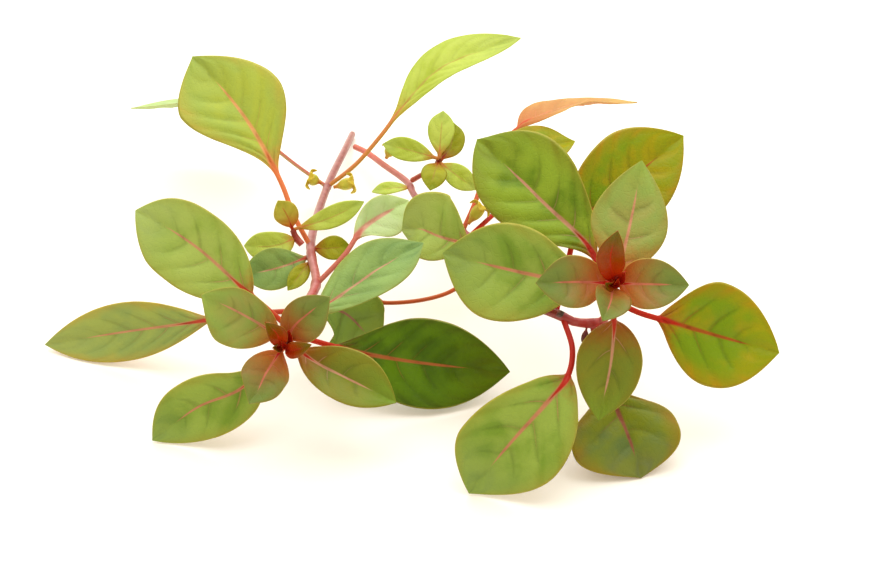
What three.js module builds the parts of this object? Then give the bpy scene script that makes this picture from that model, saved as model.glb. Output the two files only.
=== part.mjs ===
// A cut shoot of Ludwigia repens, lying on a flat surface and propped on its own leaves.
// Units are millimetres and +Z is up. The growing frame has the surface at Z = 0, and the whole
// shoot is moved at the end so that the middle of its footprint is the origin.
//
// A stem or a leaf stalk follows a route: a short list of points chosen by hand, from where it
// leaves its parent to its tip. Every leaf is one closed body, a stalk that widens into a thin,
// slightly folded blade.
import * as THREE from 'three';

const SEAT_GAP = 0.3;              // clearance that a stalk or a stem keeps from what carries it
const SEAT_SAMPLES = 400;          // places on a stem's axis that a stalk's foot is measured from
const SEAT_STEP = 0.004;           // how finely a leaf's route is searched for its foot
const STALK_HALF_WIDTH = 0.6;
const STALK_HALF_DEPTH = 0.5;
const STALK_SHARE = 0.08;          // half the width of a small leaf's stalk, as a share of its blade's
const STALK_BLEND = 4;             // the stalk's thickness fades out over the first quarter of the blade
const BLADE_HALF_DEPTH = 0.22;
const TIP_HALF_WIDTH = 0.12;
const STATION_SPREAD = 1.35;       // above 1 sets a leaf's sections closer together towards its tip
const LARGE_LEAF_WIDTH = 9;        // a wider leaf gets the finer of the two grids
const LARGE_LEAF_GRID = { sections: 10, strips: 4 };
const SMALL_LEAF_GRID = { sections: 6, strips: 2 };
const STEM_SIDES = 8;
const CAPSULE_SIDES = 8;
// A capsule's outline as radius and share of its length: stalk, swelling body, shoulders, tip.
const CAPSULE_PROFILE = [[0, 0], [0.45, 0], [0.5, 0.2], [1.3, 0.4], [1.6, 0.65], [1.2, 0.95], [0, 1]];
const PLANT_CENTRE = new THREE.Vector3(-10, 30.9, 0);

const FACE_FRONT = [0, -0.8, 0.6];
const FACE_UP = [0, -0.3, 0.95];

const MATERIALS = {
  stem: { color: 0xb9736b, roughness: 0.45, metalness: 0 },
  greenLeaf: { color: 0x8fa552, roughness: 0.5, metalness: 0 },
  deepLeaf: { color: 0x54702c, roughness: 0.4, metalness: 0 },
  redLeaf: { color: 0x9a5a35, roughness: 0.45, metalness: 0 },
  capsule: { color: 0xb7a13f, roughness: 0.5, metalness: 0 },
};

// The stems, each with its radius at the start and at the tip.
const STEMS = [
  { name: 'main_stem', radii: [0.92, 1.08], steps: 18,
    route: [[-25, 107, 0.98], [-26, 94, 4], [-29.4, 65.7, 8], [-30.7, 28, 14], [-28.2, 10, 15.5],
      [-30.4, -2, 17], [-31.8, -14.8, 19.5], [-32.4, -20.5, 21.3]] },
  { name: 'side_branch', radii: [0.8, 0.95], steps: 32,
    route: [[-23.7, 93.2, 4.6], [-20, 87, 6.2], [-14.9, 75.4, 9], [-8.2, 62.7, 11], [-6.3, 54.6, 12],
      [5.7, 28, 18], [14.3, 2.6, 23], [21, -13.7, 26], [24.5, -15.9, 26], [28.2, -17.3, 25],
      [33.4, -17.3, 25], [34.8, -17.9, 28], [35.4, -17.1, 33], [35.2, -18.2, 35.5]] },
  { name: 'back_side_shoot', radii: [0.7, 0.5], steps: 5,
    route: [[-7.1, 60.9, 12.9], [-4.5, 58.5, 16], [-1.5, 55, 20], [-0.2, 53.4, 23.5]] },
  { name: 'low_side_shoot', radii: [0.8, 0.6], steps: 3,
    route: [[-32.7, 27.4, 15.1], [-34.1, 28.4, 16.4], [-34.9, 29.4, 18]] },
];

// The leaves, pair by pair. Each route starts on the axis of its stem. stalk is the share of the
// route that is stalk, and widest is where along the blade it is widest. A taper above 1 draws the
// blade's base in towards the stalk, a higher tip fills it out towards its point, lean gives more of
// the width to the left half, seen from the stem, and skew puts that half's widest place nearer to
// the tip. face is where the upper side looks.
const LEAVES = [
  // left rosette, from the oldest pair to the heart
  { name: 'left_leaf_1a', stem: 'main_stem', look: 'greenLeaf', width: 13, stalk: 0.34, widest: 0.52,
    route: [[-30.4, -2, 17], [-44, -1.4, 15.4], [-56, 1, 11.4], [-72, 4.6, 6.2], [-91, 6.2, 1.4]] },
  { name: 'left_leaf_1b', stem: 'main_stem', look: 'greenLeaf', width: 15,
    route: [[-30.4, -1, 17], [-21.8, 3.2, 12.8], [-16.7, 1.2, 8.5], [-13.9, -0.8, 6.5]] },
  { name: 'left_leaf_2a', stem: 'main_stem', look: 'greenLeaf', width: 19, stalk: 0.28, widest: 0.6,
    taper: 0.9, tip: 2.6, lean: 0.18, skew: 0.1,
    route: [[-31.5, -12, 18.8], [-41.4, -7.5, 26.7], [-50, -4.2, 34.3], [-57.2, -2.2, 39.3],
      [-64.1, -1.6, 42.6]] },
  { name: 'left_leaf_2b', stem: 'main_stem', look: 'deepLeaf', width: 19.5, stalk: 0.2, widest: 0.52,
    route: [[-31.6, -13.5, 19], [-20.4, -13.4, 14.9], [-8.7, -10.2, 9.6], [2.2, -9.4, 7.2],
      [15.4, -9.3, 5.6]] },
  { name: 'left_leaf_3a', stem: 'main_stem', look: 'greenLeaf', width: 13.5, stalk: 0.15,
    face: FACE_UP,
    route: [[-31.3, -10, 18.4], [-23.5, -6.8, 22.4], [-13, 0, 26.7], [-3.7, 6.4, 29.2]] },
  { name: 'left_leaf_3b', stem: 'main_stem', look: 'greenLeaf', width: 13.5, stalk: 0.25,
    widest: 0.55, taper: 0.8, lean: 0.1, skew: -0.08,
    route: [[-31.9, -15.5, 19.6], [-42, -21.3, 10.6], [-51.4, -22.9, 6.7], [-61.2, -26.6, 0.6]] },
  { name: 'left_leaf_4a', stem: 'main_stem', look: 'greenLeaf', width: 12, stalk: 0.12, widest: 0.6,
    taper: 0.8, lean: 0.22,
    route: [[-32.2, -18, 20.5], [-38.4, -19.5, 26.9], [-43.4, -20.9, 31.5], [-48, -23.2, 36]] },
  { name: 'left_leaf_4b', stem: 'main_stem', look: 'greenLeaf', width: 12, stalk: 0.12, fold: 0.4,
    face: [0.1, -0.6, 0.8],
    route: [[-32.2, -18.4, 20.6], [-26, -23, 18.8], [-18.6, -26.6, 16.9], [-9, -31, 14.5]] },
  { name: 'left_leaf_5a', stem: 'main_stem', look: 'greenLeaf', width: 9.2, stalk: 0.1, lean: -0.14,
    route: [[-32.4, -20.4, 21.3], [-30, -21, 26.6], [-27, -21.2, 29.9], [-22.4, -21.1, 34]] },
  { name: 'left_leaf_5b', stem: 'main_stem', look: 'redLeaf', width: 10, stalk: 0.1, lean: 0.05,
    route: [[-32.4, -20.4, 21.3], [-36, -26.8, 18.4], [-37.2, -30, 17.1], [-38.8, -33, 15.9]] },
  { name: 'left_leaf_6a', stem: 'main_stem', look: 'redLeaf', width: 4, stalk: 0.1, fold: 0.5,
    route: [[-32.5, -20.7, 21.5], [-32.8, -23, 24], [-33.2, -24.4, 27.1], [-35, -27.1, 32]] },
  { name: 'left_leaf_6b', stem: 'main_stem', look: 'redLeaf', width: 3.5, stalk: 0.1, fold: 0.5,
    route: [[-32.3, -20.8, 21.2], [-31, -24, 22.6], [-29.2, -26.6, 24.8], [-25.9, -29.6, 28.3]] },

  // right rosette, from the oldest pair to the heart
  { name: 'right_leaf_1a', stem: 'side_branch', look: 'greenLeaf', width: 20.5, stalk: 0.32,
    widest: 0.6, taper: 0.9, tip: 2.1, lean: 0.06, skew: -0.08,
    route: [[25.6, -16.2, 25.6], [27.2, -24.6, 23.2], [26, -30, 20.7], [22.3, -34, 18],
      [14.2, -38.6, 10.1], [5.9, -43, 0.5]] },
  { name: 'right_leaf_1b', stem: 'side_branch', look: 'greenLeaf', width: 20.5, stalk: 0.4,
    widest: 0.48, taper: 0.8, lean: 0.02, skew: 0.06,
    route: [[24.2, -15.7, 26], [27, -4.4, 29.4], [29.7, 3.6, 34], [35.4, 9.9, 37.8], [43.5, 16.3, 41],
      [54.2, 23.6, 46.5]] },
  { name: 'right_leaf_2a', stem: 'side_branch', look: 'greenLeaf', width: 20.6, stalk: 0.25,
    widest: 0.6, taper: 1.3, tip: 2.3, lean: -0.05, skew: 0,
    route: [[34.9, -17.8, 28.5], [32, -5.1, 34.6], [22, 4, 41.2], [14.4, 10.9, 46],
      [8.1, 16.9, 49.3]] },
  { name: 'right_leaf_2b', stem: 'side_branch', look: 'greenLeaf', width: 23.5, stalk: 0.46,
    widest: 0.55, tip: 3, lean: -0.12, face: FACE_UP,
    route: [[31.6, -17.3, 25], [34.6, -19.1, 13.7], [36.9, -25.2, 8.6], [39.5, -31.7, 4.9],
      [41.6, -38, 0.2]] },
  { name: 'right_leaf_3a', stem: 'side_branch', look: 'greenLeaf', width: 20.8, stalk: 0.15,
    widest: 0.56, taper: 1, lean: 0.08, skew: 0.02,
    route: [[35.3, -17.2, 32], [28, -14.2, 32.7], [20.4, -11.6, 32.7], [10.5, -8.6, 33.4],
      [0.6, -6.4, 35]] },
  { name: 'right_leaf_3b', stem: 'side_branch', look: 'greenLeaf', width: 21.5, stalk: 0.3,
    widest: 0.46, taper: 1.1, tip: 2.3, skew: -0.04,
    route: [[35.2, -17.4, 31], [41, -17.7, 27.8], [48, -17.3, 25], [58, -18.1, 22],
      [71, -20.2, 19.1]] },
  { name: 'right_leaf_4a', stem: 'side_branch', look: 'redLeaf', width: 15.6, stalk: 0.1,
    widest: 0.43, taper: 1, tip: 1.9, lean: 0.05,
    route: [[35.3, -17.6, 34], [37.6, -12.6, 39], [39.8, -6.2, 44.5], [42, 1.2, 53]] },
  { name: 'right_leaf_4b', stem: 'side_branch', look: 'redLeaf', width: 13.4, stalk: 0.2,
    widest: 0.42, taper: 0.8, lean: -0.08,
    route: [[35.2, -17.3, 31], [35.6, -21.5, 28.9], [34.8, -27.8, 22.2], [32.3, -34.6, 12.8]] },
  { name: 'right_leaf_5a', stem: 'side_branch', look: 'redLeaf', width: 11, stalk: 0.1, taper: 0.8,
    route: [[35.2, -18.1, 35.3], [28.3, -20.5, 37.3], [19.2, -23.3, 39]] },
  { name: 'right_leaf_5b', stem: 'side_branch', look: 'redLeaf', width: 10.5, stalk: 0.1,
    widest: 0.46, taper: 0.8,
    route: [[35.2, -18.1, 35.3], [41, -20.8, 37], [50, -22.6, 38]] },
  { name: 'right_leaf_6a', stem: 'side_branch', look: 'redLeaf', width: 6, stalk: 0.1, fold: 0.5,
    route: [[35.2, -18.4, 35.8], [34.6, -20.2, 39], [34, -20.8, 44], [35, -21.2, 50]] },
  { name: 'right_leaf_6b', stem: 'side_branch', look: 'redLeaf', width: 8, stalk: 0.1, fold: 0.5,
    route: [[35.2, -18.4, 35.3], [34.8, -21.5, 35.7], [34, -25.8, 36], [32, -32, 36]] },

  // along the main stem
  { name: 'main_leaf_1a', stem: 'main_stem', look: 'greenLeaf', width: 14, stalk: 0.3,
    face: [0.2, 0.35, 0.9],
    route: [[-29.4, 65.7, 8], [-37.8, 71.9, 11], [-45.2, 76.8, 14.6], [-59, 84.8, 20.5],
      [-82.9, 87.9, 19.3]] },
  { name: 'main_leaf_1b', stem: 'main_stem', look: 'greenLeaf', width: 13, stalk: 0.35, widest: 0.58,
    taper: 2, tip: 1.8, lean: 0.12, face: [-0.2, -0.3, 0.9],
    route: [[-29.4, 65.7, 8], [-22.2, 70, 12.1], [-15.8, 76, 17.1], [-10.6, 82, 21.5], [0, 90, 29.7],
      [21.5, 96, 36]] },
  { name: 'main_leaf_2a', stem: 'main_stem', look: 'greenLeaf', width: 24.5, stalk: 0.33,
    widest: 0.58, taper: 2, tip: 1.9, lean: 0.02, skew: 0.1,
    route: [[-30.7, 28, 14], [-35, 34, 19.4], [-38, 40, 24.2], [-45.2, 51.3, 32.4],
      [-52.5, 60.5, 37.8], [-61.5, 68.9, 43.8]] },
  { name: 'main_leaf_3a', stem: 'main_stem', look: 'greenLeaf', width: 10, stalk: 0.45, taper: 1.6,
    lean: -0.15,
    route: [[-28.2, 10, 15.5], [-22, 18, 18.4], [-17.8, 26.5, 20.4], [-7.6, 37.4, 21.2]] },

  // along the side branch
  { name: 'branch_leaf_1a', stem: 'side_branch', look: 'greenLeaf', width: 4, stalk: 0.1,
    face: FACE_UP,
    route: [[-7, 60, 11.3], [-12.8, 60, 10.9], [-17.4, 59, 10.6]] },
  { name: 'branch_leaf_2a', stem: 'side_branch', look: 'redLeaf', width: 13, stalk: 0.5, widest: 0.32,
    taper: 1.2, tip: 1.3, face: [0, 0.3, 0.93],
    route: [[5.4, 29, 18], [8.1, 35, 21.3], [12.1, 46, 26.1], [18.5, 56, 30], [33, 65, 32],
      [50, 69, 31]] },
  { name: 'branch_leaf_2b', stem: 'side_branch', look: 'greenLeaf', width: 15.5, stalk: 0.35,
    face: [0, -0.2, 0.95],
    route: [[6.9, 25.4, 18.6], [15.8, 37.3, 21.2], [23.3, 48.1, 28], [33, 51.7, 29.4]] },
  { name: 'branch_leaf_3a', stem: 'side_branch', look: 'greenLeaf', width: 16, stalk: 0.1, lean: -0.2,
    route: [[8.5, 19.6, 19.6], [0, 23.2, 20], [-4.7, 25.9, 20.4], [-9, 27.5, 19.1]] },
  { name: 'branch_leaf_3b', stem: 'side_branch', look: 'redLeaf', width: 6, stalk: 0.7,
    route: [[9.6, 16.5, 20.2], [3.4, 8.8, 15.2], [-11.5, 6.2, 13.2], [-20.4, 8.1, 14.1],
      [-24.3, 9.8, 14.8]] },

  // low side shoot
  { name: 'low_leaf_1a', stem: 'main_stem', look: 'greenLeaf', width: 9.5, stalk: 0.1,
    route: [[-30.2, 24, 14.2], [-37, 20, 13.7], [-46, 17.1, 13.1]] },
  { name: 'low_leaf_1b', stem: 'main_stem', look: 'greenLeaf', width: 4, stalk: 0.1,
    route: [[-30.1, 22, 14.4], [-33, 16, 13.3], [-35, 12.8, 12.1]] },
  { name: 'low_leaf_2a', stem: 'low_side_shoot', look: 'greenLeaf', width: 6.5, stalk: 0.1,
    taper: 0.8, tip: 2.8,
    route: [[-33.6, 29, 16.2], [-39, 25.3, 16.1], [-46, 24.5, 16.6]] },
  { name: 'low_leaf_2b', stem: 'main_stem', look: 'greenLeaf', width: 5.5, stalk: 0.1,
    route: [[-30.7, 27, 14.1], [-25.6, 27.6, 14], [-21.4, 28.7, 13.8]] },
  { name: 'low_leaf_3a', stem: 'low_side_shoot', look: 'greenLeaf', width: 5.5, stalk: 0.1,
    taper: 0.8,
    route: [[-34.9, 29.4, 18], [-36, 30, 21.5], [-38, 30.3, 25.5]] },
  { name: 'low_leaf_3b', stem: 'low_side_shoot', look: 'greenLeaf', width: 5, stalk: 0.1,
    route: [[-34.9, 29.4, 18], [-26.4, 31.5, 19.8], [-18.1, 34.9, 22.4]] },

  // back side shoot
  { name: 'back_leaf_1a', stem: 'back_side_shoot', look: 'greenLeaf', width: 5.5, stalk: 0.1,
    route: [[-0.2, 53.4, 23.5], [-7.9, 54, 25.7], [-14.2, 56, 26.2]] },
  { name: 'back_leaf_1b', stem: 'back_side_shoot', look: 'greenLeaf', width: 5.5, stalk: 0.1,
    route: [[-0.4, 53.8, 22.5], [4.4, 49.7, 20.7], [8.8, 46.7, 18.6]] },
  { name: 'back_leaf_2a', stem: 'back_side_shoot', look: 'greenLeaf', width: 6.3, stalk: 0.1,
    route: [[-0.2, 53.4, 23.5], [0.2, 57, 28.2], [0.8, 62.1, 32.2]] },
  { name: 'back_leaf_2b', stem: 'back_side_shoot', look: 'greenLeaf', width: 6, stalk: 0.1,
    route: [[-0.4, 53.8, 22.5], [-1.5, 48, 22.1], [-2.4, 44, 20.1]] },
  { name: 'back_leaf_3', stem: 'back_side_shoot', look: 'greenLeaf', width: 6, stalk: 0.1,
    route: [[0, 53.4, 22.8], [2.7, 57.9, 24.6], [3.4, 63.5, 28.1]] },
];

// The seed capsules, each from the middle of its foot to its tip.
const CAPSULES = [
  { name: 'main_capsule_a', foot: [-30.8, 65.4, 9.4], tip: [-34, 65.8, 10.6] },
  { name: 'main_capsule_b', foot: [-27.7, 64.6, 8.6], tip: [-22.4, 65.4, 9.6] },
  { name: 'branch_capsule_a', foot: [-14.4, 77, 10], tip: [-12.6, 79.4, 12.2] },
  { name: 'branch_capsule_b', foot: [6.6, 29, 19.8], tip: [10, 31.4, 23.6] },
];

function curveOf(route) {
  const points = route.map((place) => new THREE.Vector3(...place));
  return new THREE.CatmullRomCurve3(points, false, 'centripetal');
}

// The width of a blade at t, 0 at its base and 1 at its tip, as a share of its full width.
// half is 1 for its left half and -1 for its right one.
function bladeShape(t, half, { widest = 0.55, skew = 0, taper = 1.1, tip = 2.2 }) {
  const crest = widest + skew * half;
  if (t < crest) return (1 - (1 - t / crest) ** 2) ** taper;
  return 1 - (1 - (1 - t) / (1 - crest)) ** tip;
}

// A round stem along its route, with a radius that changes evenly from its start to its tip.
function stemGeometry({ route, radii, steps }) {
  const path = curveOf(route);
  const section = new THREE.Shape().absarc(0, 0, 1, 0, 2 * Math.PI);
  const curveSegments = STEM_SIDES / 2;
  const geometry = new THREE.ExtrudeGeometry(section, { steps, extrudePath: path, curveSegments });
  const rings = path.getSpacedPoints(steps);
  const positions = geometry.attributes.position;
  const point = new THREE.Vector3();
  for (let i = 0; i < positions.count; i += 1) {
    point.fromBufferAttribute(positions, i);
    let nearest = 0;
    rings.forEach((ring, index) => {
      if (point.distanceTo(ring) < point.distanceTo(rings[nearest])) nearest = index;
    });
    const radius = THREE.MathUtils.lerp(radii[0], radii[1], nearest / steps);
    point.sub(rings[nearest]).multiplyScalar(radius).add(rings[nearest]);
    positions.setXYZ(i, point.x, point.y, point.z);
  }
  return geometry;
}

// A leaf's solid as a function of three shares: along its route from the stem's axis (0) to the
// tip (1), across it (-1 to 1) and through its thickness (-1 to 1, the upper side). fold is how far
// each half blade rises off flat, in radians.
function leafForm(leaf) {
  const { width, stalk = 0.2, lean = 0, fold = 0.22, face = FACE_FRONT } = leaf;
  const path = curveOf(leaf.route);
  const facing = new THREE.Vector3(...face);
  const stalkHalfWidth = Math.min(STALK_HALF_WIDTH, width * STALK_SHARE);
  const stalkHalfDepth = Math.min(STALK_HALF_DEPTH, width * STALK_SHARE);
  return (along, across, through) => {
    const t = Math.max(0, (along - stalk) / (1 - stalk));
    const tangent = path.getTangentAt(along);
    const normal = facing.clone().addScaledVector(tangent, -facing.dot(tangent)).normalize();
    const side = new THREE.Vector3().crossVectors(normal, tangent);
    const stalkWidth = THREE.MathUtils.lerp(stalkHalfWidth, TIP_HALF_WIDTH, t);
    const half = Math.sign(across);
    const bladeWidth = (width / 2) * (1 + lean * half) * bladeShape(t, half, leaf);
    const bladeShare = Math.min(1, t * STALK_BLEND);
    const halfDepth = THREE.MathUtils.lerp(stalkHalfDepth, BLADE_HALF_DEPTH, bladeShare);
    return path.getPointAt(along)
      .addScaledVector(side, across * (stalkWidth + bladeWidth * Math.cos(fold)))
      .addScaledVector(normal, Math.abs(across) * bladeWidth * Math.sin(fold) + through * halfDepth);
  };
}

// How far along its route the four corners of a leaf stalk's foot are clear of its stem.
function seatOnStem(form, { route, radii }) {
  const axis = curveOf(route).getSpacedPoints(SEAT_SAMPLES);
  const isClear = (corner) => axis.every((place, index) => {
    const radius = THREE.MathUtils.lerp(radii[0], radii[1], index / SEAT_SAMPLES);
    return place.distanceTo(corner) > radius + SEAT_GAP;
  });
  const corners = [[1, 1], [1, -1], [-1, 1], [-1, -1]];
  let along = 0;
  while (!corners.every(([across, through]) => isClear(form(along, across, through)))) {
    along += SEAT_STEP;
  }
  return along;
}

// One leaf: a box whose length becomes the route, its width the blade's and its height the
// blade's thickness.
function leafGeometry(leaf) {
  const grid = leaf.width > LARGE_LEAF_WIDTH ? LARGE_LEAF_GRID : SMALL_LEAF_GRID;
  const geometry = new THREE.BoxGeometry(1, 1, 1, grid.sections, grid.strips, 1);
  const form = leafForm(leaf);
  const seat = seatOnStem(form, STEMS.find(({ name }) => name === leaf.stem));
  const positions = geometry.attributes.position;
  for (let i = 0; i < positions.count; i += 1) {
    const station = 1 - (0.5 - positions.getX(i)) ** STATION_SPREAD;
    const along = THREE.MathUtils.lerp(seat, 1, station);
    const point = form(along, positions.getY(i) * 2, positions.getZ(i) * 2);
    positions.setXYZ(i, point.x, point.y, point.z);
  }
  return geometry;
}

// A seed capsule on its short stalk, a turned form stood on its foot and tipped to its tip.
function capsuleGeometry({ foot, tip }) {
  const start = new THREE.Vector3(...foot);
  const axis = new THREE.Vector3(...tip).sub(start);
  const length = axis.length();
  const points = CAPSULE_PROFILE.map(([radius, share]) => new THREE.Vector2(radius, share * length));
  const geometry = new THREE.LatheGeometry(points, CAPSULE_SIDES);
  const turn = new THREE.Quaternion().setFromUnitVectors(new THREE.Vector3(0, 1, 0), axis.normalize());
  return geometry.applyQuaternion(turn).translate(start.x, start.y, start.z);
}

function namedMesh(name, geometry, look) {
  geometry.computeVertexNormals();
  const mesh = new THREE.Mesh(geometry, new THREE.MeshStandardMaterial(MATERIALS[look]));
  mesh.name = name;
  return mesh;
}

const plant = new THREE.Group();
plant.position.copy(PLANT_CENTRE).negate();
STEMS.forEach((stem) => plant.add(namedMesh(stem.name, stemGeometry(stem), 'stem')));
LEAVES.forEach((leaf) => plant.add(namedMesh(leaf.name, leafGeometry(leaf), leaf.look)));
CAPSULES.forEach((capsule) => plant.add(namedMesh(capsule.name, capsuleGeometry(capsule), 'capsule')));

export default plant;
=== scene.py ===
"""A cut shoot of Ludwigia repens, lying on a pale table and propped on its own leaves.

Stems, leaves and capsules follow the routes of the solids that they stand for, in millimetres of the
growing frame, which has the table at Z = 0. Everything is moved to the part's frame and to metres
once, by in_frame(). A round bar is modelled once for each size of leaf, and each copy's corners are
then placed along its own leaf's route, because no two leaves bend, fold or quilt alike.
"""

import math

import bpy
import numpy as np
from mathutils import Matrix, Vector


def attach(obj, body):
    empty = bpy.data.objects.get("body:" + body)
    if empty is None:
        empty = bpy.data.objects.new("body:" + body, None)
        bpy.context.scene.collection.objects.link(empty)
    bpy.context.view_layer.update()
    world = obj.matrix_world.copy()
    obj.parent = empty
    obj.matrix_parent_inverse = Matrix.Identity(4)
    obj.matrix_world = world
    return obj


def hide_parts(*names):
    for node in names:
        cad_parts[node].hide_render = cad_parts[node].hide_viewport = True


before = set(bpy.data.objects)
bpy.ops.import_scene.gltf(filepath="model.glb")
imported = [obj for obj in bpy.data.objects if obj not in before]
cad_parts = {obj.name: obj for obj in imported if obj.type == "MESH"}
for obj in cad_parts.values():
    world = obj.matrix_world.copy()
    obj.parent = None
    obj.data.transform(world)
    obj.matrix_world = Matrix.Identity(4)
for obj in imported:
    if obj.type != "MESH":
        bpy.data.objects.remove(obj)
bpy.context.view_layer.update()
bpy.ops.object.select_all(action="DESELECT")

MM = 0.001
PLANT_CENTRE = Vector((-10.0, 30.9, 0.0))  # the part's origin, in the growing frame
ROUTE_STEPS = 60  # places that a curve is given between two of its knots
TOUCH = 1e-4  # on a blank, places nearer than this are the same

# ---------------------------------------------------------------- camera and light, growing frame

VIEW_TARGET = Vector((0.0, 0.0, 20.0))
VIEW_DISTANCE = 330.0
VIEW_ELEVATION = math.radians(35)
SENSOR_WIDTH = 36.0
LENS = 61.36
SOFTBOX_PLACE = Vector((50.0, 310.0, 620.0))
SOFTBOX_SIZE = 1000.0
SOFTBOX_WATTS = 7.5
SOFTBOX_COLOUR = "F4F8FF"
ROOM_STRENGTH = 0.93
ROOM_COLOUR = "FFF3DC"
CARD_COLOUR = "FAF8F2"
TABLE_RADIUS = 3000.0

# ---------------------------------------------------------------- leaf form

STALK_HALF_WIDTH = 0.6
STALK_HALF_DEPTH = 0.5
STALK_SHARE = 0.08  # half the width of a small leaf's stalk, as a share of its blade's
STALK_BLEND = 4  # the stalk's thickness fades out over the first quarter of the blade
BLADE_HALF_DEPTH = 0.17
TIP_HALF_WIDTH = 0.1
SECTION_SPREAD = 1.15  # above 1 sets a leaf's sections closer together towards its tip
VEIN_SPACING = 6.5  # from one side vein to the next, along the midrib
FEWEST_VEINS = 3.5
VEIN_SWEEP = 0.3  # how far up the blade a side vein has run when it reaches the margin
VEIN_CURVE = 1.5
VEIN_DRIFT = (0.13, 0.1)  # how far veins stray along and across the blade, as shares of the spacing
VEIN_STAGGER = 0.22  # how far one half's veins sit ahead of the middle, and the other's behind it
QUILT_SHARE = 0.03  # how far the tissue swells between two veins, as a share of the width
WAVE_SHARE = 0.025  # how far the margin rises and falls, as a share of the width
WAVE_RUN = 8  # radians of wave from base to tip
WAVE_STAGGER = 1.7  # radians between its two halves
GROOVE_HALF_WIDTH = 0.7  # the groove over the midrib
GROOVE_DEPTH = 0.5  # as a share of the quilting's height
KEEL_DEPTH = 0.35  # the midrib's keel under the blade, at its base
KEEL_HALF_WIDTH = 0.55
MIDRIB_BASE = 0.036  # half the red midrib's width, as a share of the leaf's
MIDRIB_TIP = 0.006
MIDRIB_LEAST = 0.07
LARGE_LEAF_WIDTH = 9
LARGE_BLANK = {"sections": 100, "columns": 32}
SMALL_BLANK = {"sections": 40, "columns": 16}

FACE_FRONT = (0, -0.8, 0.6)
FACE_UP = (0, -0.3, 0.95)
ORDINARY_LEAF = {"stalk": 0.2, "widest": 0.55, "taper": 1.1, "tip": 2.2, "lean": 0, "skew": 0,
                 "fold": 0.22, "rib": 1, "face": FACE_FRONT}

# ---------------------------------------------------------------- stems and capsules

STEM_BLANK = {"sides": 20, "sections": 160}
RIND_SHARE = 0.22  # of a stem's radius, round the pith of its cut end
PITH_DEPTH = 0.004  # how far the pith has sunk, as a share of the stem's length
JOINT_SWELL = 0.18  # how far a stem thickens at a joint, as a share of its radius
JOINT_REACH = 1.3
JOINT_NEAR = 1.0  # a leaf whose foot is this near to a stem grows from it
SAME_JOINT = 0.01  # leaves nearer than this, as a share of the stem, share a joint
RIDGE_COUNT = 6
RIDGE_SHARE = 0.03
STEM_UPRIGHT = (0.3, 0.2, 0.93)  # no stem runs this way
PAINTED_HIGHLIGHT_SIDE = (-0.7, -0.3, 0.65)  # the side of the stems that a painted highlight lightens, facing the light

# A capsule's body as rings from its foot: share of its length, radius.
CAPSULE_RINGS = [(0.2, 0.45), (0.32, 0.95), (0.45, 1.3), (0.65, 1.5), (0.85, 1.35), (0.96, 1.05)]
CAPSULE_FOOT_RADIUS = 0.4
CAPSULE_FOOT_HEIGHT = 0.02
CAPSULE_TOP_INSET = 0.3  # the width of the rim and of the hollow in it, as shares of the radius
CAPSULE_RIM = 0.05
CAPSULE_HOLLOW = 0.06
CAPSULE_SIDES = 16
CAPSULE_LOBE = 0.1  # how far each of the four lobes stands out, as a share of the radius
CAPSULE_GIRTH = 1.1
AXIL_BUD_GIRTH = 0.5
SEPAL_WIDTH = 2.6
SEPAL_HEIGHT = 0.93  # where on the capsule it starts, as a share of its length
SEPAL_START = 0.7  # from the capsule's axis
SEPAL_REACH = 2.0
SEPAL_DROOP = 1.0
SEPAL_ARCH = 0.6  # how far its middle is lifted
SEPAL_BULGE = 0.2  # and pushed out

STEMS = [
    {"name": "main_stem", "radii": (0.92, 1.08), "skin": "main",
     "route": [(-25, 107, 0.98), (-26, 94, 4), (-29.4, 65.7, 8), (-30.7, 28, 14), (-28.2, 10, 15.5),
               (-30.4, -2, 17), (-31.8, -14.8, 19.5), (-32.4, -20.5, 21.3)]},
    {"name": "side_branch", "radii": (0.8, 0.95), "skin": "branch",
     "route": [(-23.7, 93.2, 4.6), (-20, 87, 6.2), (-14.9, 75.4, 9), (-8.2, 62.7, 11),
               (-6.3, 54.6, 12), (5.7, 28, 18), (14.3, 2.6, 23), (21, -13.7, 26), (24.5, -15.9, 26),
               (28.2, -17.3, 25), (33.4, -17.3, 25), (34.8, -17.9, 28), (35.4, -17.1, 33),
               (35.2, -18.2, 35.5)]},
    {"name": "back_side_shoot", "radii": (0.7, 0.5), "skin": "shoot",
     "route": [(-7.1, 60.9, 12.9), (-4.5, 58.5, 16), (-1.5, 55, 20), (-0.2, 53.4, 23.5)]},
    {"name": "low_side_shoot", "radii": (0.8, 0.6), "skin": "shoot",
     "route": [(-32.7, 27.4, 15.1), (-34.1, 28.4, 16.4), (-34.9, 29.4, 18)]},
]

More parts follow.
